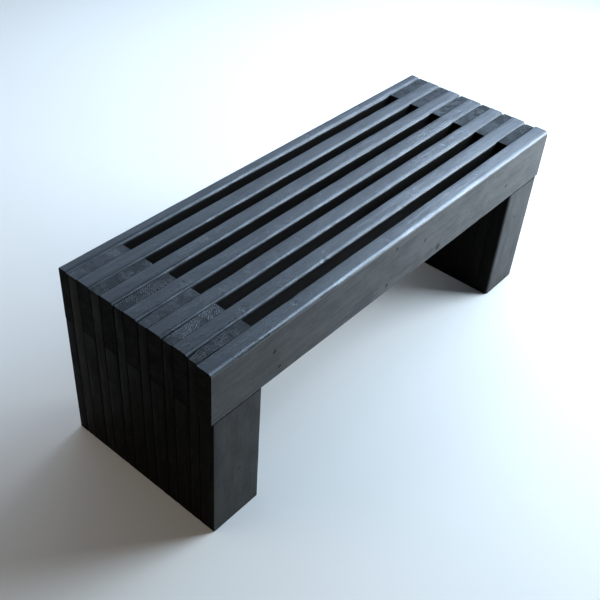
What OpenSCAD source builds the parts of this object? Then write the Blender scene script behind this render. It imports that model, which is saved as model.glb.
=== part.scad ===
// Backless slatted bench.
// Seven seat slats stand on edge. At each end, full-height spacer boards fill the gaps between
// them, and a short leg board stands under each slat, so that each leg is one solid block of
// alternating boards. X runs along the seat, +Y points to the rear and +Z up. The origin is on
// the ground, in the middle of the bench.

/* [Seat] */
// Height of the seat above the ground
seat_h = 450; // [380:5:500]
// Length of the seat slats
slat_len = 1180; // [800:10:1800]
// Height of a seat slat on edge
slat_h = 128; // [110:1:140]
// Thickness of a seat slat
slat_t = 38; // [36:1:45]
// Thickness of the rear seat slat and of the leg boards under it
rear_t = 27; // [26:1:45]
// How far the front slat stands past the others at the left end
front_slat_proud = 6; // [0:1:12]

/* [Legs] */
// Width of a leg board
leg_board_w = 128; // [110:1:160]
// How far the right-hand leg boards stand in from the slat ends
right_leg_inset = 8; // [0:1:20]

/* [Spacers] */
// Width of a spacer board
spacer_w = 136; // [120:1:180]
// Thickness of a spacer board, which is the gap between two slats
spacer_t = 27; // [26:1:36]
// How far a spacer's end grain lies below the seat
spacer_drop = 1; // [0:0.5:4]

/* [Edges] */
// Radius along the planed long edges of every board
edge_r = 2.5; // [1:0.5:8]
// Radius along the front top edge of every seat slat
seat_edge_r = 7.5; // [1:0.5:12]

/* [Fixings] */
// Length of the screws through a slat or leg board into the spacer behind it
slat_screw_len = 60; // [50:5:60]
// Length of the screws through a spacer into the slat and leg board behind it
spacer_screw_len = 50; // [40:5:50]
// Shank diameter of the countersunk screws
screw_d = 5; // [4:0.5:6]
// Head diameter of the countersunk screws
screw_head_d = 10; // [8:0.5:12]
// Diameter of the wooden dowels behind the front layer
dowel_d = 10; // [8:1:12]
// Length of the wooden dowels
dowel_len = 40; // [30:2:44]

/* [Hidden] */
$fn = 48;
slat_count = 7;
spacer_count = slat_count - 1;
LEFT = -1;
RIGHT = 1;

board_colour = [0.15, 0.17, 0.20];
spacer_colour = [0.19, 0.21, 0.25];
steel_colour = [0.66, 0.67, 0.69];
dowel_colour = [0.79, 0.66, 0.47];

leg_h = seat_h - slat_h;
layer_pitch = slat_t + spacer_t;
depth = spacer_count * layer_pitch + rear_t;
total_len = slat_len + front_slat_proud;
left_end = -total_len / 2 + front_slat_proud;
right_end = total_len / 2;

// Clearance round a fixing in its bore, and how far a bore runs out of the board's face
fit_gap = 0.2;
run_out = 1;
screw_tip_len = 5;
recess_w = 1;
recess_l = 4.6;
recess_depth = 2.4;
dowel_chamfer = 1.5;

// Every fixing sits at a quarter point of its board, in width and in height
fixing_insets = [leg_board_w / 4, leg_board_w * 3 / 4];
fixing_heights = [leg_h / 4, leg_h * 3 / 4, leg_h + slat_h / 4, leg_h + slat_h * 3 / 4];
// The fixings of slat layers and of spacers zigzag in opposite ways, so that they never meet
SLAT_ZIGZAG = 0;
SPACER_ZIGZAG = 1;

function end_name(side) = side == LEFT ? "left" : "right";
function layer_t(i) = i == 1 ? rear_t : slat_t;
// Front faces of slat layer i and of the spacer in front of it, counted from the rear
function layer_y(i) = -depth / 2 + (slat_count - i) * layer_pitch;
function spacer_y(i) = layer_y(i) - spacer_t;
// Outer face of a leg, and the place of a fixing measured inwards from it
function leg_face_x(side) = side == LEFT ? left_end : right_end - right_leg_inset;
function fixing_x(side, k, zigzag) = leg_face_x(side) - side * fixing_insets[(k + zigzag) % 2];

SIDES = [LEFT, RIGHT];

// Section of a planed board with its four edges rounded. Its first corner, at the origin, may
// have a radius of its own.
module board_section(w, t, first_r = edge_r) {
    translate([first_r, 0])
        square([w - first_r - edge_r, t]);
    translate([0, first_r])
        square([w, t - first_r - edge_r]);
    translate([edge_r, first_r])
        square([w - 2 * edge_r, t - first_r]);
    translate([first_r, edge_r])
        square([w - first_r, t - 2 * edge_r]);
    translate([first_r, first_r])
        circle(first_r);
    for (corner = [[w - edge_r, edge_r], [edge_r, t - edge_r], [w - edge_r, t - edge_r]])
        translate(corner)
            circle(edge_r);
}

module upright_board(w, t, h) {
    linear_extrude(h)
        board_section(w, t);
}

// Board on edge along X, rounded over along its front top edge
module board_on_edge(length, t, h) {
    translate([0, 0, h])
        rotate([0, 90, 0])
            linear_extrude(length)
                board_section(h, t, seat_edge_r);
}

// Places its children at the four fixings of one layer at one end, pointing to the rear
module at_fixings(side, y, zigzag) {
    for (k = [0:len(fixing_heights) - 1])
        translate([fixing_x(side, k, zigzag), y, fixing_heights[k]])
            rotate([-90, 0, 0])
                children();
}

// Countersunk wood screw with a cross recess, head at the origin and tip along +Z
module screw(length) {
    head_r = screw_head_d / 2;
    shank_r = screw_d / 2;
    difference() {
        rotate_extrude()
            polygon([
                [0, 0], [head_r, 0], [shank_r, head_r - shank_r],
                [shank_r, length - screw_tip_len], [0, length]
            ]);
        for (turn = [0, 90])
            rotate([0, 0, turn])
                cube([recess_l, recess_w, 2 * recess_depth], center = true);
    }
}

// Space that a screw takes up in the boards
module screw_bore(length) {
    head_r = screw_head_d / 2 + fit_gap;
    shank_r = screw_d / 2 + fit_gap;
    rotate_extrude()
        polygon([
            [0, -run_out], [head_r, -run_out], [head_r, 0], [shank_r, head_r - shank_r],
            [shank_r, length - screw_tip_len], [0, length + fit_gap]
        ]);
}

// Wooden dowel with chamfered ends, centred on the origin along Z
module dowel() {
    r = dowel_d / 2;
    end_z = dowel_len / 2;
    rotate_extrude()
        polygon([
            [0, -end_z], [r - dowel_chamfer, -end_z], [r, dowel_chamfer - end_z],
            [r, end_z - dowel_chamfer], [r - dowel_chamfer, end_z], [0, end_z]
        ]);
}

module dowel_bore() {
    cylinder(h = dowel_len + run_out, d = dowel_d + 2 * fit_gap, center = true);
}

// Bores of the screws whose heads lie in slat layer i
module slat_screw_bores(side, i) {
    at_fixings(side, layer_y(i), SLAT_ZIGZAG)
        screw_bore(slat_screw_len);
}

// Bores of the screws whose heads lie in spacer i
module spacer_screw_bores(side, i) {
    at_fixings(side, spacer_y(i), SPACER_ZIGZAG)
        screw_bore(spacer_screw_len);
}

// Bores of the dowels across the joint behind the front layer
module dowel_bores(side) {
    at_fixings(side, layer_y(slat_count) + slat_t, SLAT_ZIGZAG)
        dowel_bore();
}

// All the bores in a board of slat layer i
module layer_bores(side, i) {
    if (i > 1 && i < slat_count)
        slat_screw_bores(side, i);
    if (i < slat_count)
        spacer_screw_bores(side, i);
    if (i == slat_count)
        dowel_bores(side);
}

module seat_slat(i) {
    proud = i == slat_count ? front_slat_proud : 0;
    color(board_colour)
        difference() {
            translate([left_end - proud, layer_y(i), leg_h])
                board_on_edge(slat_len + proud, layer_t(i), slat_h);
            for (side = SIDES)
                layer_bores(side, i);
        }
}

module leg_board(side, i) {
    x = side == LEFT ? leg_face_x(side) : leg_face_x(side) - leg_board_w;
    color(board_colour)
        difference() {
            translate([x, layer_y(i), 0])
                upright_board(leg_board_w, layer_t(i), leg_h);
            layer_bores(side, i);
        }
}

module spacer(side, i) {
    x = side == LEFT ? left_end : right_end - spacer_w;
    color(spacer_colour)
        difference() {
            translate([x, spacer_y(i), 0])
                upright_board(spacer_w, spacer_t, seat_h - spacer_drop);
            spacer_screw_bores(side, i);
            if (i < spacer_count)
                slat_screw_bores(side, i + 1);
            if (i == spacer_count)
                dowel_bores(side);
        }
}

module slat_screws(side) {
    color(steel_colour)
        for (i = [2:spacer_count])
            at_fixings(side, layer_y(i), SLAT_ZIGZAG)
                screw(slat_screw_len);
}

module spacer_screws(side) {
    color(steel_colour)
        for (i = [1:spacer_count])
            at_fixings(side, spacer_y(i), SPACER_ZIGZAG)
                screw(spacer_screw_len);
}

module dowels(side) {
    color(dowel_colour)
        at_fixings(side, layer_y(slat_count) + slat_t, SLAT_ZIGZAG)
            dowel();
}

for (i = [1:slat_count])
    seat_slat(i);
for (side = SIDES, i = [1:slat_count])
    leg_board(side, i);
for (side = SIDES, i = [1:spacer_count])
    spacer(side, i);
for (side = SIDES)
    slat_screws(side);
for (side = SIDES)
    spacer_screws(side);
for (side = SIDES)
    dowels(side);
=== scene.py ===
"""Looks of the backless bench: worn, blue-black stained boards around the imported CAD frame.

Every board is rebuilt as a fine mesh inside its CAD solid, with rounded and slightly uneven
edges, sawn ends, small dents and a few open joints, and has stained-wood materials that follow
the grain of that board. Lengths are in metres, in the frame of the CAD model.
"""

import math

import bpy
import numpy as np
from mathutils import Matrix, Vector


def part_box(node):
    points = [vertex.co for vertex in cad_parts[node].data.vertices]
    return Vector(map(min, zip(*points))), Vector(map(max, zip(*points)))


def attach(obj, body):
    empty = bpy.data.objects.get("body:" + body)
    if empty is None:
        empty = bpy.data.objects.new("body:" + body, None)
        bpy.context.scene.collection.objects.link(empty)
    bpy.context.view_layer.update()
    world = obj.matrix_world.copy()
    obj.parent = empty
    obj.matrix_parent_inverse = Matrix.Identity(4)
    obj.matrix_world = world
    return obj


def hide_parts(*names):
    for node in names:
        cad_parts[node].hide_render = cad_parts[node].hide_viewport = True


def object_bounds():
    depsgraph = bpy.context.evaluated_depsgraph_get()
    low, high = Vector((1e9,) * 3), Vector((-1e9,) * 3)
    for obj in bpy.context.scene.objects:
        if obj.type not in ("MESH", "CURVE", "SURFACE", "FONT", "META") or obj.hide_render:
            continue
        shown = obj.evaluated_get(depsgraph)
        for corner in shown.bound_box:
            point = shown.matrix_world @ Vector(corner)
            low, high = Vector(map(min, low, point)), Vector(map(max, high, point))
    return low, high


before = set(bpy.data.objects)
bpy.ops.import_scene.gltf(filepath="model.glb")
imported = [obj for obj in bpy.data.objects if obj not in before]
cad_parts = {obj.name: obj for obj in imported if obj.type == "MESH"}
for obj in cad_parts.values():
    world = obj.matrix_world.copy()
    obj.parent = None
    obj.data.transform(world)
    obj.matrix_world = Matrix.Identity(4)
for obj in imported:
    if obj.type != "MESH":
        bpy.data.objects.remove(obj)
cad_low, cad_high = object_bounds()

MM = 0.001
X, Y, Z = 0, 1, 2
SEED = 4711

# ---------------------------------------------------------------- driving values

# Mesh of a board
EDGE_ZONE = 12 * MM  # stretch of each face, next to an arris, that rounds over with it
EDGE_STEPS = 5  # mesh steps from the middle of an arris to the end of that zone
WIDE_STEP = 6.5 * MM  # mesh step across a board's wide faces
THIN_STEP = 5 * MM  # mesh step across its thickness
LONG_STEP = 9 * MM  # mesh step along it
DENT_STEP = 1.5 * MM  # mesh step along it beside a dent
SAW_CHAMFER = 0.7 * MM  # broken edge round a sawn end
SAW_RIPPLE = 0.35 * MM  # depth of the saw marks in that end

# Arrises, swell and bow
TOP_FRONT_R = {
    1: 8.5 * MM, 2: 7.2 * MM, 3: 8.4 * MM, 4: 7.8 * MM, 5: 7.8 * MM, 6: 8.6 * MM, 7: 9.5 * MM,
}
SLAT_EDGE_R = 2.2 * MM
LEG_EDGE_R = 2.2 * MM
SPACER_EDGE_R = 1.8 * MM
INNER_LEG_R = 9.0 * MM  # the inner front arris of the right leg is rubbed round
LEAST_ROUNDING = 0.85  # an arris's radius varies along a board from this share of it
ROUNDING_SPREAD = 0.3  # up to this much more
SLAT_SWELL = 0.35 * MM  # how far the faces lie inside the CAD board at most
UPRIGHT_SWELL = 0.25 * MM
SLAT_BOW = 1.0 * MM  # the most that a slat bends to the front or rear
STRAIGHT_SLATS = (1, 7)

# Wear
WORN_WIDTH = 6 * MM  # how far rubbed stain reaches from an arris
WORN_TOPS = {"left_spacer_6": 3.0 * MM, "right_spacer_6": 3.5 * MM}  # drop at the outer end
WORN_TOP_REACH = 32 * MM  # how far in from the outer end that drop reaches
WORN_TOP_CURVE = 1.4  # how much steeper it gets on the way there
WORN_TOP_DEPTH = 12 * MM  # how deep below the top the mesh sinks with it
WORN_TOP_BLEND = 10 * MM  # stretch over which it starts to
GAP_REACH = 110 * MM  # how far in from the outer end an open joint stays open

# ---------------------------------------------------------------- board meshes


class Ripple:
    """Smooth, seeded noise between 0 and 1 along one or two lengths, made of a few sine waves."""

    def __init__(self, rng, longest, waves=5, longest_across=0.05):
        self.along = rng.uniform(1.0, 4.0, waves) / longest
        self.across = rng.uniform(-2.0, 2.0, waves) / longest_across
        self.phase = rng.uniform(0, math.tau, waves)
        self.share = 1 / np.sqrt(np.arange(1, waves + 1))

    def at(self, u, s=0.0):
        """The noise at u along the board and s across it."""
        total = 0
        for along, across, phase, share in zip(self.along, self.across, self.phase, self.share):
            total = total + share * np.sin(math.tau * (along * u + across * s) + phase)
        return 0.5 + 0.5 * total / self.share.sum()


def edge_nodes(length, step):
    """Places across one face of a board: fine next to both arrises, even in between."""
    zone = np.linspace(0, EDGE_ZONE, EDGE_STEPS + 1)
    middle_steps = max(2, round((length - 2 * EDGE_ZONE) / step))
    middle = np.linspace(EDGE_ZONE, length - EDGE_ZONE, middle_steps + 1)
    return np.concatenate([zone[:-1], middle, length - zone[-2::-1]])


def ring_places(length, dents):
    """Places of the mesh rings along a board, close together at its ends and beside dents."""
    chamfer = [0, 0.35 * SAW_CHAMFER, SAW_CHAMFER, 2 * SAW_CHAMFER]
    clear = 3 * SAW_CHAMFER
    places = list(np.linspace(0, length, round(length / LONG_STEP) + 1)[1:-1])
    for place, _, reach, _ in dents:
        steps = max(3, math.ceil(reach / DENT_STEP))
        places += list(place + np.linspace(-reach, reach, 2 * steps + 1))
    places = sorted(place for place in places if clear < place < length - clear)
    kept = [places[0]]
    for place in places[1:]:
        if place - kept[-1] > 0.4 * DENT_STEP:
            kept.append(place)
    return np.array(chamfer + kept + [length - place for place in reversed(chamfer)])


class Section:
    """Rectangular section of a board, width by thickness, as a loop of places on its outline."""

    def __init__(self, width, thick):
        self.width = width
        self.thick = thick
        self.v_nodes = edge_nodes(width, WIDE_STEP)
        self.w_nodes = edge_nodes(thick, THIN_STEP)
        self.n = n = len(self.v_nodes) - 1
        self.m = m = len(self.w_nodes) - 1
        self.loop = [(i, 0) for i in range(n)] + [(n, j) for j in range(m)]
        self.loop += [(i, m) for i in range(n, 0, -1)] + [(0, j) for j in range(m, 0, -1)]
        self.flat = np.array([(self.v_nodes[i], self.w_nodes[j]) for i, j in self.loop])
        self.inward = np.zeros((len(self.loop), 2))
        self.corner = np.full(len(self.loop), -1)
        self.lean = np.zeros(len(self.loop))
        self.on_wide = np.zeros(len(self.loop), bool)
        for k, (v, w) in enumerate(self.flat):
            self.sort_point(k, v, w)

    def sort_point(self, k, v, w):
        """Notes whether outline point k is on a wide face, and whether it belongs to an arris."""
        on_wide = w in (0, self.thick) and v not in (0, self.width)
        self.on_wide[k] = on_wide
        reach, limit = (v, self.width) if on_wide else (w, self.thick)
        near = min(reach, limit - reach)
        sign_v = 1 if v < self.width / 2 else -1
        sign_w = 1 if w < self.thick / 2 else -1
        if near < EDGE_ZONE - 1e-9:
            self.corner[k] = (sign_v < 0) + 2 * (sign_w < 0)
            self.lean[k] = near / EDGE_ZONE * math.pi / 4
        elif on_wide:
            self.inward[k] = (0, sign_w)
        else:
            self.inward[k] = (sign_v, 0)

    def outline(self, radii, inset):
        """Outline points with the four arrises rounded to radii, all moved in by inset."""
        points = self.flat.copy()
        for k in np.flatnonzero(self.corner >= 0):
            corner = self.corner[k]
            sign = np.array([-1.0 if corner % 2 else 1.0, -1.0 if corner >= 2 else 1.0])
            tip = np.array([self.width if corner % 2 else 0, self.thick if corner >= 2 else 0])
            small = math.sin(math.pi / 4 - self.lean[k])
            large = math.cos(math.pi / 4 - self.lean[k])
            out = -sign * ((small, large) if self.on_wide[k] else (large, small))
            points[k] = tip + radii[corner] * sign + radii[corner] * out
            self.inward[k] = -out
        return points + self.inward * np.asarray(inset).reshape(-1, 1)


def worn_drop(spec, along, across):
    """How far the top of a board has been rubbed down towards its outer side."""
    length, width, _ = spec["size"]
    to_outer = across if spec["outer_first"] else width - across
    near_top = np.clip((along - length + WORN_TOP_DEPTH) / WORN_TOP_BLEND, 0, 1)
    near_outer = np.clip(1 - to_outer / WORN_TOP_REACH, 0, 1)
    return spec["worn_top"] * near_top * near_outer**WORN_TOP_CURVE


def open_joints(spec, u, outline):
    """Moves the wide faces at u inward where the joints with the next boards are open."""
    length, width, thick = spec["size"]
    for side, inward in (("near_gap", 1), ("far_gap", -1)):
        gap_at_bottom, gap_at_top = spec[side]
        gap = gap_at_bottom + (gap_at_top - gap_at_bottom) * u / length
        to_outer = outline[:, 0] if spec["outer_first"] else width - outline[:, 0]
        gap = gap * np.clip(1 - to_outer / GAP_REACH, 0, 1)
        share = outline[:, 1] / thick if inward < 0 else 1 - outline[:, 1] / thick
        outline[:, 1] += inward * gap * np.clip(share, 0, 1)


def ring_outline(spec, section, u, rounding, swell):
    """Outline of a board at u along it: rounded, dented, broken at its ends, swollen, bowed."""
    length = spec["size"][0]
    radii = [
        edge_r * (LEAST_ROUNDING + ROUNDING_SPREAD * ripple.at(u))
        for edge_r, ripple in zip(spec["edge_r"], rounding)
    ]
    for place, corner, reach, depth in spec["dents"]:
        fade = max(0.0, 1 - ((u - place) / reach) ** 2)
        radii[corner] += depth * fade**1.5
    radii = [min(radius, 0.95 * EDGE_ZONE) for radius in radii]
    chamfer = max(0.0, SAW_CHAMFER - min(u, length - u))
    around = np.arange(len(section.loop)) * WIDE_STEP
    outline = section.outline(radii, chamfer + spec["swell"] * swell.at(u, around))
    open_joints(spec, u, outline)
    outline[:, 1] += spec["bow"] * math.sin(math.pi * u / length) ** 2
    return outline


def side_faces(spec, section, ring_count):
    """Faces between the rings of a board, and the surface each of them belongs to."""
    count = len(section.loop)
    last = ring_count - 1
    faces = []
    surfaces = []
    for k in range(last):
        sawn = k < 2 or k >= last - 2
        for a in range(count):
            b = (a + 1) % count
            faces.append((k * count + a, (k + 1) * count + a, (k + 1) * count + b, k * count + b))
            wide = section.on_wide[a] or section.on_wide[b]
            rounded = section.corner[a] == spec["worn_arris"] == section.corner[b]
            surfaces.append("end" if sawn else "arris" if rounded else "face" if wide else "edge")
    return faces, surfaces


def cap_points(section, outline):
    """Inner mesh points of a sawn end, blended across from its outline (a Coons patch)."""
    n, m = section.n, section.m
    edge = {place: point for place, point in zip(section.loop, outline)}
    inner = np.zeros((n - 1, m - 1, 2))
    for i in range(1, n):
        s = section.v_nodes[i] / section.width
        for j in range(1, m):
            t = section.w_nodes[j] / section.thick
            ruled = (1 - t) * edge[i, 0] + t * edge[i, m] + (1 - s) * edge[0, j] + s * edge[n, j]
            tips = (1 - s) * (1 - t) * edge[0, 0] + s * (1 - t) * edge[n, 0]
            tips = tips + (1 - s) * t * edge[0, m] + s * t * edge[n, m]
            inner[i - 1, j - 1] = ruled - tips
    return inner


def sawn_end(spec, section, ring, u, outline, saw_marks, first):
    """Points and faces that close a board at its ring at u. first is the first point's number."""
    n, m = section.n, section.m
    inner = cap_points(section, outline)
    into = 1 if ring == 0 else -1
    place = {at: ring * len(section.loop) + k for k, at in enumerate(section.loop)}
    points = []
    for i in range(1, n):
        for j in range(1, m):
            v, w = inner[i - 1, j - 1]
            place[i, j] = first + len(points)
            mark = SAW_RIPPLE * saw_marks.at(v, w)
            points.append(np.array([u + into * mark - worn_drop(spec, u, v), v, w]))
    faces = []
    for i in range(n):
        for j in range(m):
            quad = (place[i, j], place[i + 1, j], place[i + 1, j + 1], place[i, j + 1])
            faces.append(quad if ring == 0 else quad[::-1])
    return points, faces


def board_mesh(spec, rng):
    """Mesh of one board. Returns its points as (along, across width, through thickness), its
    faces and the surface each face belongs to: "face", "edge", "arris" or "end"."""
    length, width, thick = spec["size"]
    section = Section(width, thick)
    rounding = [Ripple(rng, 0.22, waves=7) for _ in range(4)]
    swell = Ripple(rng, 0.5, waves=6, longest_across=0.12)
    saw_marks = [Ripple(rng, 0.05, waves=6, longest_across=0.03) for _ in range(2)]

    rings = ring_places(length, spec["dents"])
    outlines = [ring_outline(spec, section, u, rounding, swell) for u in rings]
    points = []
    for u, outline in zip(rings, outlines):
        points += list(np.column_stack([u - worn_drop(spec, u, outline[:, 0]), outline]))
    faces, surfaces = side_faces(spec, section, len(rings))
    for ring, marks in zip((0, len(rings) - 1), saw_marks):
        end_points, end_faces = sawn_end(
            spec, section, ring, rings[ring], outlines[ring], marks, len(points)
        )
        points += end_points
        faces += end_faces
        surfaces += ["end"] * len(end_faces)
    return np.array(points), faces, surfaces


# ---------------------------------------------------------------- what each board is like

AXES = {"slat": (X, Z, Y), "upright": (Z, X, Y)}  # along, across the width, through the thickness
LOW_FRONT, TOP_FRONT, TOP_REAR = 0, 1, 3  # arrises of a seat slat
INNER_FRONT = 0  # arris of a board of the right leg

# Dents in the arrises of the seat slats: distance from the left end, arris, reach, depth
SLAT_DENTS = {
    1: [(0.790, TOP_FRONT, 0.014, 1.0 * MM)],
    2: [(0.330, TOP_FRONT, 0.020, 1.2 * MM), (0.905, TOP_REAR, 0.030, 1.5 * MM)],
    3: [(0.560, TOP_FRONT, 0.016, 1.0 * MM)],
    4: [(0.245, TOP_REAR, 0.050, 2.4 * MM), (0.700, TOP_FRONT, 0.016, 1.1 * MM)],
    5: [(0.210, TOP_REAR, 0.060, 2.8 * MM), (0.480, TOP_FRONT, 0.018, 1.1 * MM)],
    6: [(0.380, TOP_FRONT, 0.010, 1.4 * MM), (0.645, TOP_FRONT, 0.010, 1.5 * MM)],
    7: [(0.250, TOP_REAR, 0.020, 1.6 * MM), (0.910, LOW_FRONT, 0.015, 2.0 * MM)],
}
# Knots that cross a seat slat from front to rear: distance from the left end, height above its
# lower edge, radius
FACE_KNOTS = {
    7: [
        (0.168, 0.071, 0.006), (0.184, 0.021, 0.005), (0.547, 0.105, 0.005),
        (0.528, 0.018, 0.006), (0.660, 0.067, 0.005), (0.722, 0.018, 0.009),
        (1.011, 0.048, 0.005),
    ],
}
# Knots that cross a seat slat from top to bottom: distance from the left end, distance behind
# the front face, radius
TOP_KNOTS = {
    1: [(0.730, 0.012, 0.006), (0.925, 0.014, 0.007)],
    2: [(0.420, 0.020, 0.006), (0.870, 0.016, 0.005)],
    3: [(0.270, 0.022, 0.007), (0.760, 0.018, 0.005)],
    4: [(0.135, 0.020, 0.006), (0.560, 0.024, 0.006), (0.780, 0.015, 0.007)],
    5: [(0.250, 0.020, 0.008), (0.400, 0.022, 0.006), (0.930, 0.018, 0.006)],
    6: [(0.160, 0.018, 0.008), (0.700, 0.020, 0.005)],
    7: [(0.245, 0.022, 0.007), (0.533, 0.016, 0.006), (0.880, 0.020, 0.005)],
}
SPACER_KNOT_R = 7 * MM
LEG_KNOT_R = 6 * MM

# Gaps left in the joints by boards that don't lie quite flat: at the ground, at the top
SPACER_REAR_GAPS = {
    3: (0.3 * MM, 2.2 * MM), 4: (0, 2.4 * MM), 5: (0.4 * MM, 2.4 * MM), 6: (0, 2.2 * MM),
}
SPACER_FRONT_GAPS = {2: (0, 0.8 * MM), 4: (0, 0.7 * MM), 6: (0.2 * MM, 2.4 * MM)}

SPACER_TONES = {1: 4.0, 2: 2.4, 6: 1.3}  # the sides of spacers 1, 2 and 6 are lighter by these factors

# How strongly grain and finish stand out, at the start and at the end of a board; 1 elsewhere
RELIEF = {
    "seat_slat_1": (0.9, 1.5), "seat_slat_2": (1.0, 1.2), "seat_slat_3": (1.0, 1.4),
    "seat_slat_4": (1.2, 1.5), "seat_slat_5": (1.4, 1.2), "seat_slat_6": (1.4, 0.8),
    "seat_slat_7": (1.7, 0.7), "right_leg_board_7": (0.6, 0.6),
    "left_spacer_1": (0.6, 0.6), "left_spacer_2": (1.8, 1.8), "left_spacer_3": (2.2, 2.2),
    "left_spacer_4": (0.7, 0.7), "left_spacer_5": (1.7, 1.7), "left_spacer_6": (3.2, 3.2),
    "right_spacer_1": (2.0, 2.0), "right_spacer_2": (2.0, 2.0), "right_spacer_3": (1.8, 1.8),
    "right_spacer_4": (2.0, 2.0), "right_spacer_5": (2.2, 2.2), "right_spacer_6": (3.0, 3.0),
}


def slat_details(spec, number, rng):
    """Adds what only a seat slat has."""
    spec["edge_r"] = [SLAT_EDGE_R] * 4
    spec["edge_r"][TOP_FRONT] = TOP_FRONT_R[number]
    spec["worn_arris"] = TOP_FRONT
    spec["swell"] = SLAT_SWELL
    spec["dents"] = SLAT_DENTS[number]
    spec["knots"] = [(u, v, None, r) for u, v, r in FACE_KNOTS.get(number, [])]
    spec["knots"] += [(u, None, w, r) for u, w, r in TOP_KNOTS[number]]
    if number not in STRAIGHT_SLATS:
        spec["bow"] = rng.uniform(-1.0, 1.0) * SLAT_BOW


def spacer_details(spec, number, rng):
    """Adds what only a spacer has."""
    spec["edge_r"] = [SPACER_EDGE_R] * 4
    spec["tone"] *= SPACER_TONES.get(number, 1.0)
    spec["far_gap"] = SPACER_REAR_GAPS.get(number, (0, 0))
    spec["near_gap"] = SPACER_FRONT_GAPS.get(number, (0, 0))
    place = (rng.uniform(0.08, 0.3), rng.uniform(0.2, 0.8) * spec["size"][1])
    spec["knots"] = [(*place, None, SPACER_KNOT_R)]


def leg_board_details(spec, name, rng):
    """Adds what only a leg board has."""
    spec["edge_r"] = [LEG_EDGE_R] * 4
    if name == "right_leg_board_7":
        spec["edge_r"][INNER_FRONT] = INNER_LEG_R
    place = (rng.uniform(0.1, 0.25), rng.uniform(0.3, 0.8) * spec["size"][1])
    spec["knots"] = [(*place, None, LEG_KNOT_R)]


def board_spec(name, rng):
    """What one board is like: its size, its edges, its faults and how it lies in its log."""
    low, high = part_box(name)
    kind = "slat" if name.startswith("seat_slat") else "upright"
    size = [high[axis] - low[axis] for axis in AXES[kind]]
    spec = {
        "kind": kind,
        "axes": AXES[kind],
        "corner": low,
        "size": size,
        "swell": UPRIGHT_SWELL,
        "near_gap": (0, 0),
        "far_gap": (0, 0),
        "bow": 0.0,
        "dents": [],
        "tone": rng.uniform(0.8, 1.25),
        "relief": RELIEF.get(name, (1.0, 1.0)),
        "worn_top": WORN_TOPS.get(name, 0.0),
        "worn_arris": None,
        "outer_first": name.startswith("left"),
        "pith": (
            rng.uniform(-0.4, 1.4) * size[1],
            rng.uniform(0.6, 1.6) * size[2] * rng.choice((-1, 2)),
        ),
    }
    number = int(name.rsplit("_", 1)[1])
    if kind == "slat":
        slat_details(spec, number, rng)
    elif "spacer" in name:
        spacer_details(spec, number, rng)
    else:
        leg_board_details(spec, name, rng)
    return spec


def knot_offsets(points, spec):
    """Offset of every point from the axis of its nearest knot, in radii of that knot."""
    too_far_to_show = 20.0
    nearest = np.full((len(points), 3), too_far_to_show)
    for along, across, through, radius in spec["knots"]:
        offset = np.zeros_like(points)
        offset[:, 0] = points[:, 0] - along
        if across is not None:
            offset[:, 1] = points[:, 1] - across
        if through is not None:
            offset[:, 2] = points[:, 2] - through
        offset /= radius
        closer = np.linalg.norm(offset, axis=1) < np.linalg.norm(nearest, axis=1)
        nearest[closer] = offset[closer]
    return nearest


def edge_wear(points, spec, rng):
    """How rubbed each point is: 1 on an arris, fading over a few millimetres, 0 on the faces."""
    across = np.minimum(points[:, 1], spec["size"][1] - points[:, 1])
    through = np.minimum(points[:, 2], spec["size"][2] - points[:, 2])
    near = np.maximum(across, through)
    patchy = 0.35 + 0.65 * Ripple(rng, 0.12, waves=7).at(points[:, 0], points[:, 1])
    return np.clip(1 - near / WORN_WIDTH, 0, 1) * patchy


def stain_tone(points, spec):
    """How light the stain is at each point: the board's own tone, but 1 on an upright's top."""
    top = spec["size"][0] - 2.5 * SAW_CHAMFER - spec["worn_top"]
    on_top = (points[:, 0] > top) & (spec["kind"] == "upright")
    return np.where(on_top, 1.0, spec["tone"])


def add_attribute(mesh, name, kind, values):
    """Stores one value per point on a mesh, for its materials to read."""
    made = mesh.attributes.new(name, kind, "POINT")
    made.data.foreach_set("vector" if kind == "FLOAT_VECTOR" else "value", np.ravel(values))


def make_board(name, materials):
    """Builds the visible board that stands for one CAD board."""
    rng = np.random.default_rng(SEED + sum(ord(letter) * (at + 1) for at, letter in enumerate(name)))
    spec = board_spec(name, rng)
    points, faces, surfaces = board_mesh(spec, rng)
    placed = np.zeros_like(points)
    for column, axis in enumerate(spec["axes"]):
        placed[:, axis] = points[:, column] + spec["corner"][axis]

    mesh = bpy.data.meshes.new(name + "_wood")
    mesh.from_pydata(placed.tolist(), [], faces)
    if spec["kind"] == "slat":
        mesh.flip_normals()
    mesh.shade_smooth()
    pith = np.array([-rng.uniform(0, 3), *spec["pith"]])
    add_attribute(mesh, "grain", "FLOAT_VECTOR", points - pith)
    add_attribute(mesh, "knot", "FLOAT_VECTOR", knot_offsets(points, spec))
    add_attribute(mesh, "wear", "FLOAT", edge_wear(points, spec, rng))
    add_attribute(mesh, "tone", "FLOAT", stain_tone(points, spec))
    relief = np.interp(points[:, 0], (0, spec["size"][0]), spec["relief"])
    add_attribute(mesh, "relief", "FLOAT", relief)
    order = list(materials)
    for surface in order:
        mesh.materials.append(materials[surface])
    mesh.polygons.foreach_set("material_index", [order.index(surface) for surface in surfaces])

    piece = bpy.data.objects.new(name + "_wood", mesh)
    bpy.context.scene.collection.objects.link(piece)
    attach(piece, "root")
    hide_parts(name)


# ---------------------------------------------------------------- shader nodes


def add(tree, kind, inputs=None, **settings):
    """Adds a shader node, sets its fields, and fills its inputs with values or links."""
    made = tree.nodes.new("ShaderNode" + kind)
    for field, value in settings.items():
        setattr(made, field, value)
    for key, value in (inputs or {}).items():
        if isinstance(value, bpy.types.NodeSocket):
            tree.links.new(value, made.inputs[key])
        else:
            made.inputs[key].default_value = value
    return made


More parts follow.
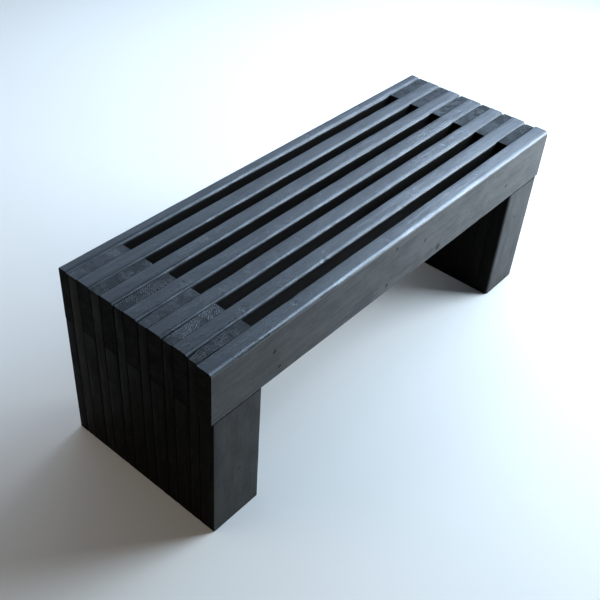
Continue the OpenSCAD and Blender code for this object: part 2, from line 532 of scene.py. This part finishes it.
def maths(tree, operation, first, second=0.0):
    """One step of arithmetic on values."""
    return add(tree, "Math", {0: first, 1: second}, operation=operation).outputs[0]


def total(tree, *terms):
    """Sum of values, each times its own factor."""
    result = 0.0
    for value, factor in terms:
        result = maths(tree, "ADD", maths(tree, "MULTIPLY", value, factor), result)
    return result


def scaled(tree, vector, factors):
    """Stretches a vector by a factor for each direction."""
    return add(tree, "VectorMath", {0: vector, 1: factors}, operation="MULTIPLY").outputs[0]


def vector_length(tree, vector):
    """Length of a vector."""
    return add(tree, "VectorMath", {0: vector}, operation="LENGTH").outputs["Value"]


def noise(tree, vector, factors, detail=2.0, roughness=0.5):
    """Noise that is factors times as fine along each direction of vector."""
    inputs = {
        "Vector": scaled(tree, vector, factors),
        "Scale": 1.0,
        "Detail": detail,
        "Roughness": roughness,
    }
    return add(tree, "TexNoise", inputs).outputs["Fac"]


def between(tree, value, low, high, to_low, to_high, smooth=False):
    """Maps value from low..high to to_low..to_high and stops at both ends."""
    inputs = {"Value": value, "From Min": low, "From Max": high, "To Min": to_low, "To Max": to_high}
    kind = "SMOOTHSTEP" if smooth else "LINEAR"
    return add(tree, "MapRange", inputs, interpolation_type=kind).outputs["Result"]


def blend(tree, share, first, second):
    """Mixes two colours by share."""
    made = add(tree, "Mix", {"Factor": share}, data_type="RGBA")
    for socket, value in ((made.inputs[6], first), (made.inputs[7], second)):
        if isinstance(value, bpy.types.NodeSocket):
            tree.links.new(value, socket)
        else:
            socket.default_value = (*value, 1.0)
    return made.outputs[2]


def new_material(name):
    """Makes a material. Returns it with its node tree and its surface shader."""
    material = bpy.data.materials.new(name)
    material.use_nodes = True
    tree = material.node_tree
    return material, tree, tree.nodes["Principled BSDF"]


# ---------------------------------------------------------------- stained wood

RUBBED = (0.045, 0.043, 0.040)  # wood that shows through where the stain is rubbed off


def board_attributes(tree):
    """What the mesh of a board says about each point of it."""
    outputs = {"grain": "Vector", "knot": "Vector", "wear": "Fac", "tone": "Fac", "relief": "Fac"}
    return {
        name: add(tree, "Attribute", attribute_name=name).outputs[output]
        for name, output in outputs.items()
    }


def growth_rings(tree, grain, knot_distance, rings_per_m):
    """Late wood, 0 to 1, of rings about the pith, bent by noise and pushed aside by knots."""
    drift = noise(tree, grain, (2.5, 26, 26))
    push = between(tree, knot_distance, 0.6, 3.6, 0.008, 0.0, smooth=True)
    radius = vector_length(tree, scaled(tree, grain, (0, 1, 1)))
    radius = total(tree, (radius, 1), (drift, 0.016), (push, 1))
    phase = maths(tree, "FRACT", maths(tree, "MULTIPLY", radius, rings_per_m))
    rise = between(tree, phase, 0.35, 0.92, 0, 1, smooth=True)
    return maths(tree, "MULTIPLY", rise, between(tree, phase, 0.92, 1.0, 1, 0))


def wood_figure(tree, grain, knot, rings_per_m):
    """The patterns in a stained board: rings, knots, fibres, streaks and blotches where the
    stain took more or less, pits and fine grit."""
    ragged = noise(tree, grain, (130, 130, 130))
    knot_distance = total(tree, (vector_length(tree, knot), 1), (ragged, 1.1))
    knot_distance = maths(tree, "SUBTRACT", knot_distance, 0.55)
    return {
        "late_wood": growth_rings(tree, grain, knot_distance, rings_per_m),
        "knot_core": between(tree, knot_distance, 0.5, 1.2, 1, 0, smooth=True),
        "fibre": noise(tree, grain, (14, 1000, 1000), detail=2, roughness=0.6),
        "streak": noise(tree, grain, (7, 120, 120), detail=3, roughness=0.6),
        "blotch": noise(tree, grain, (13, 30, 30), detail=3, roughness=0.6),
        "pits": noise(tree, grain, (75, 230, 230), detail=3, roughness=0.65),
        "speckle": noise(tree, grain, (240, 420, 420), detail=2, roughness=0.7),
    }


def stain_colour(tree, figure, board, dark, light, knot_stain):
    """Colour of the stain: darker over late wood and knots, thin on rubbed arrises."""
    share = total(
        tree, (figure["late_wood"], 0.28), (figure["fibre"], 0.30),
        (figure["streak"], 0.50), (figure["blotch"], 0.55),
    )
    colour = blend(tree, between(tree, share, 0.42, 1.12, 0, 1), light, dark)
    knot_share = maths(tree, "MULTIPLY", figure["knot_core"], knot_stain)
    colour = blend(tree, knot_share, colour, [0.4 * channel for channel in dark])
    rubbed = maths(tree, "MULTIPLY", board["wear"], maths(tree, "ADD", figure["speckle"], 0.45))
    colour = blend(tree, between(tree, rubbed, 0.80, 1.05, 0, 0.5), colour, RUBBED)
    toned = {0: colour, "Scale": board["tone"]}
    return add(tree, "VectorMath", toned, operation="SCALE").outputs[0]


def stain_roughness(tree, figure, board, rough, knot_dulling, patchiness, ring_dulling):
    """Roughness of the stain: patchy, and different over knots, rings and rubbed arrises."""
    sheen = total(
        tree, (figure["blotch"], patchiness), (figure["streak"], 0.30),
        (figure["pits"], 0.24), (figure["speckle"], 0.28),
    )
    sheen = maths(tree, "SUBTRACT", sheen, 0.5 * patchiness + 0.41)
    sheen = maths(tree, "MULTIPLY", sheen, board["relief"])
    patchy = between(tree, sheen, -0.10, 0.10, rough[0], rough[1])
    ring_sheen = maths(tree, "SUBTRACT", figure["late_wood"], 0.5)
    ring_sheen = maths(tree, "MULTIPLY", ring_sheen, board["relief"])
    roughness = total(
        tree, (patchy, 1), (ring_sheen, -ring_dulling),
        (figure["knot_core"], knot_dulling), (board["wear"], 0.04),
    )
    return between(tree, roughness, 0.15, 0.9, 0.15, 0.9)


def stain_height(tree, figure, board, grain_relief, pit_relief, knot_sink):
    """Height of the surface in millimetres, for fine relief that the mesh doesn't have."""
    height = total(
        tree, (figure["late_wood"], 0.5 * grain_relief), (figure["fibre"], grain_relief),
        (figure["streak"], 1.6 * grain_relief), (figure["blotch"], 3.0 * pit_relief),
        (figure["pits"], pit_relief), (figure["speckle"], 0.60 * pit_relief),
        (figure["knot_core"], -knot_sink),
    )
    return maths(tree, "MULTIPLY", height, board["relief"])


def stained_wood(
    name, colours, rough, gloss, grain_relief, pit_relief,
    knot_stain=0.7, knot_dulling=0.12, patchiness=0.42, ring_dulling=0.0, rings_per_m=290.0,
):
    """Softwood under a thin, dark, satin stain.

    colours are the stain's over late and over early wood, rough is the range of roughness,
    gloss the specular level, and the reliefs are depths in millimetres: of the grain, and of
    the pitted, rippled finish. knot_stain is how dark knots are and knot_dulling how much
    rougher and more sunken (below 0: shinier and raised), patchiness how uneven the finish is
    from place to place, ring_dulling how much rougher early wood is than late wood.
    """
    material, tree, surface = new_material(name)
    board = board_attributes(tree)
    figure = wood_figure(tree, board["grain"], board["knot"], rings_per_m)
    colour = stain_colour(tree, figure, board, *colours, knot_stain)
    roughness = stain_roughness(tree, figure, board, rough, knot_dulling, patchiness, ring_dulling)
    height = stain_height(tree, figure, board, grain_relief, pit_relief, 2.0 * knot_dulling)
    bump = add(tree, "Bump", {"Height": height, "Distance": MM, "Strength": 1.0})
    tree.links.new(colour, surface.inputs["Base Color"])
    tree.links.new(roughness, surface.inputs["Roughness"])
    tree.links.new(bump.outputs["Normal"], surface.inputs["Normal"])
    surface.inputs["Specular IOR Level"].default_value = gloss
    return material


# The stain over late wood and over early wood
SEAT_COLOURS = ((0.004, 0.005, 0.007), (0.020, 0.022, 0.025))
FRONT_COLOURS = ((0.0024, 0.0022, 0.0022), (0.015, 0.0105, 0.008))
# The colours of the sides and sawn ends are far darker than the seat's: painted shade of the ends,
# which face away from the light.
SHADED_SIDE_COLOURS = ((0.0020, 0.0018, 0.0013), (0.0060, 0.0054, 0.0042))
END_RINGS_PER_M = 230.0

seat_stain = stained_wood(
    "seat_stain", SEAT_COLOURS, rough=(0.27, 0.50), gloss=0.56, grain_relief=0.14, pit_relief=0.42,
    knot_stain=0.3, knot_dulling=-0.12, patchiness=0.2,
)
arris_stain = stained_wood(
    "arris_stain", SEAT_COLOURS, rough=(0.26, 0.40), gloss=0.60, grain_relief=0.05, pit_relief=0.12,
)
front_arris_stain = stained_wood(
    "front_arris_stain", SEAT_COLOURS, rough=(0.26, 0.40), gloss=1.0, grain_relief=0.05,
    pit_relief=0.12,
)
front_stain = stained_wood(
    "front_stain", FRONT_COLOURS, rough=(0.34, 0.50), gloss=0.43, grain_relief=0.06,
    pit_relief=0.12, knot_stain=0.95, knot_dulling=0.30,
)
leg_front_stain = stained_wood(
    "leg_front_stain", FRONT_COLOURS, rough=(0.36, 0.52), gloss=0.27, grain_relief=0.05,
    pit_relief=0.10,
)
# Darker, duller copy of the stain for the sides of the boards: painted shade.
shaded_side_stain = stained_wood(
    "shaded_side_stain", SHADED_SIDE_COLOURS, rough=(0.48, 0.66), gloss=0.035, grain_relief=0.05, pit_relief=0.10,
)
top_end_stain = stained_wood(
    "top_end_stain", SEAT_COLOURS, rough=(0.20, 0.80), gloss=0.52, grain_relief=0.40,
    pit_relief=0.60, patchiness=0.9, ring_dulling=0.16, rings_per_m=END_RINGS_PER_M,
)
# Darker, duller copy of the stain for the sawn ends: painted shade of the ends.
shaded_side_end_stain = stained_wood(
    "shaded_side_end_stain", SHADED_SIDE_COLOURS, rough=(0.60, 0.80), gloss=0.035, grain_relief=0.15,
    pit_relief=0.25, rings_per_m=END_RINGS_PER_M,
)


def board_materials(name):
    """The material of a board's wide faces, of its narrow faces and of its sawn ends, and of the
    worn arris that a seat slat has."""
    if name.startswith("seat_slat"):
        arris = front_arris_stain if name.endswith("_7") else arris_stain
        return {"face": front_stain, "edge": seat_stain, "arris": arris, "end": shaded_side_end_stain}
    if "spacer" in name:
        return {"face": shaded_side_stain, "edge": shaded_side_stain, "end": top_end_stain}
    face = leg_front_stain if name.endswith(("_1", "_7")) else shaded_side_stain
    return {"face": face, "edge": shaded_side_stain, "end": shaded_side_end_stain}


SLOTS = {"seat": "stained_slat", "leg_board": "stained_leg_board", "spacer": "stained_spacer"}
for node_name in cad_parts:
    for word, slot_name in SLOTS.items():
        if word in node_name and not node_name.endswith(("screws", "dowels")):
            make_board(node_name, board_materials(node_name))

# ---------------------------------------------------------------- fixings

STEEL_COLOURS = ((0.50, 0.50, 0.52), (0.70, 0.69, 0.66))
BEECH_COLOURS = ((0.55, 0.38, 0.22), (0.72, 0.55, 0.36))


def clouded_material(name, colours, factors, rough):
    """Two colours and a range of roughness, mixed by noise factors times as fine as a metre."""
    material, tree, surface = new_material(name)
    place = add(tree, "TexCoord").outputs["Object"]
    cloud = noise(tree, place, factors, detail=3)
    tree.links.new(blend(tree, cloud, *colours), surface.inputs["Base Color"])
    tree.links.new(between(tree, cloud, 0.3, 0.7, *rough), surface.inputs["Roughness"])
    return material, surface


def steel_material():
    """Zinc-plated screw steel, slightly cloudy."""
    material, surface = clouded_material(
        "zinc_steel", STEEL_COLOURS, factors=(900, 900, 900), rough=(0.25, 0.45)
    )
    surface.inputs["Metallic"].default_value = 1.0
    return material


def beech_material():
    """Plain beech of the dowels, with short flecks along the dowel."""
    material, _ = clouded_material(
        "dowel_beech", BEECH_COLOURS, factors=(1500, 120, 1500), rough=(0.5, 0.7)
    )
    return material


def dress(ending, material):
    """Gives the CAD nodes whose names have that ending a material."""
    for node_name, node_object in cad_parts.items():
        if node_name.endswith(ending):
            node_object.data.materials.clear()
            node_object.data.materials.append(material)


dress("screws", steel_material())
dress("dowels", beech_material())

# ---------------------------------------------------------------- studio

FLOOR_HALF = 14.0
FLOOR_DROP = 0.2 * MM  # keeps the floor clear of the legs' lowest faces
FLOOR_COLOURS = ((0.90, 0.83, 0.75), (0.93, 0.86, 0.78))
CAMERA_TARGET = (-0.194, -0.078, 0.300)
CAMERA_DISTANCE = 1.943
CAMERA_AZIMUTH = math.radians(-52.28)
CAMERA_ELEVATION = math.radians(40.23)
CAMERA_ROLL = math.radians(-4.37)
CAMERA_LENS = 54.56
CAMERA_SENSOR = 36.0
WORLD_COLOUR = (0.90, 0.94, 1.0, 1.0)
WORLD_STRENGTH = 0.025


def aim(thing, place, target, roll=0.0):
    """Puts a camera or light at place and points it at target."""
    back = (Vector(place) - Vector(target)).normalized()
    level = Vector((0, 0, 1)).cross(back).normalized()
    up = back.cross(level)
    top = math.cos(roll) * up + math.sin(roll) * level
    side = math.cos(roll) * level - math.sin(roll) * up
    matrix = Matrix((side, top, back)).transposed().to_4x4()
    matrix.translation = Vector(place)
    thing.matrix_world = matrix


def soft_box(name, place, target, size, colour, radiance):
    """Rectangular area light of a given brightness."""
    light = bpy.data.lights.new(name, "AREA")
    light.shape = "RECTANGLE"
    light.size, light.size_y = size
    light.color = colour
    light.energy = radiance * math.pi * size[0] * size[1]
    made = bpy.data.objects.new(name, light)
    bpy.context.scene.collection.objects.link(made)
    aim(made, place, target)


def floor_plane():
    """Large pale floor, with its level at the bottom of the CAD box."""
    level = cad_low.z - FLOOR_DROP
    corners = [(x * FLOOR_HALF, y * FLOOR_HALF, level) for x, y in ((-1, -1), (1, -1), (1, 1), (-1, 1))]
    mesh = bpy.data.meshes.new("floor")
    mesh.from_pydata(corners, [], [(0, 1, 2, 3)])
    material, tree, surface = new_material("pale_floor")
    place = add(tree, "TexCoord").outputs["Object"]
    cloud = noise(tree, place, (1.2, 1.2, 1.2))
    tree.links.new(blend(tree, cloud, *FLOOR_COLOURS), surface.inputs["Base Color"])
    surface.inputs["Roughness"].default_value = 0.8
    surface.inputs["Specular IOR Level"].default_value = 0.1
    mesh.materials.append(material)
    made = bpy.data.objects.new("floor", mesh)
    bpy.context.scene.collection.objects.link(made)


def photo_camera():
    """Camera at the angle and with the lens that the photo was taken with."""
    back = Vector((
        math.sin(CAMERA_AZIMUTH) * math.cos(CAMERA_ELEVATION),
        -math.cos(CAMERA_AZIMUTH) * math.cos(CAMERA_ELEVATION),
        math.sin(CAMERA_ELEVATION),
    ))
    data = bpy.data.cameras.new("camera")
    data.sensor_width = CAMERA_SENSOR
    data.lens = CAMERA_LENS
    made = bpy.data.objects.new("camera", data)
    bpy.context.scene.collection.objects.link(made)
    aim(made, Vector(CAMERA_TARGET) + CAMERA_DISTANCE * back, CAMERA_TARGET, CAMERA_ROLL)
    bpy.context.scene.camera = made


def studio_world():
    """Faint, even light from all around."""
    world = bpy.data.worlds.new("studio")
    bpy.context.scene.world = world
    world.use_nodes = True
    background = world.node_tree.nodes["Background"]
    background.inputs["Color"].default_value = WORLD_COLOUR
    background.inputs["Strength"].default_value = WORLD_STRENGTH


floor_plane()
photo_camera()
# Soft boxes: place, target, size, colour, radiance. The large cool ones at the right make the
# sheen on the seat and the front, and the warm one at the left fills the shaded end.
soft_box("sky_panel", (1.9, 1.3, 1.9), (0.1, 0.0, 0.4), (2.2, 1.6), (0.57, 0.75, 1.0), 2.4)
soft_box("right_panel", (2.3, 0.5, 2.1), (0.1, 0.0, 0.4), (1.3, 1.1), (0.60, 0.77, 1.0), 8.0)
soft_box("high_panel", (1.7, -0.7, 2.3), (0.1, -0.1, 0.45), (1.6, 1.2), (0.52, 0.74, 1.0), 11.0)
soft_box("front_panel", (2.1, -1.4, 1.2), (0.2, -0.1, 0.4), (1.4, 1.8), (0.70, 0.85, 1.0), 12.0)
soft_box("back_panel", (0.2, 2.4, 1.9), (0.0, 0.0, 0.4), (2.6, 1.2), (0.58, 0.76, 1.0), 1.9)
soft_box("left_panel", (-2.2, 1.6, 2.4), (0.0, 0.0, 0.2), (2.0, 1.6), (1.0, 0.92, 0.80), 1.7)
studio_world()
bpy.context.scene.view_settings.view_transform = "Standard"
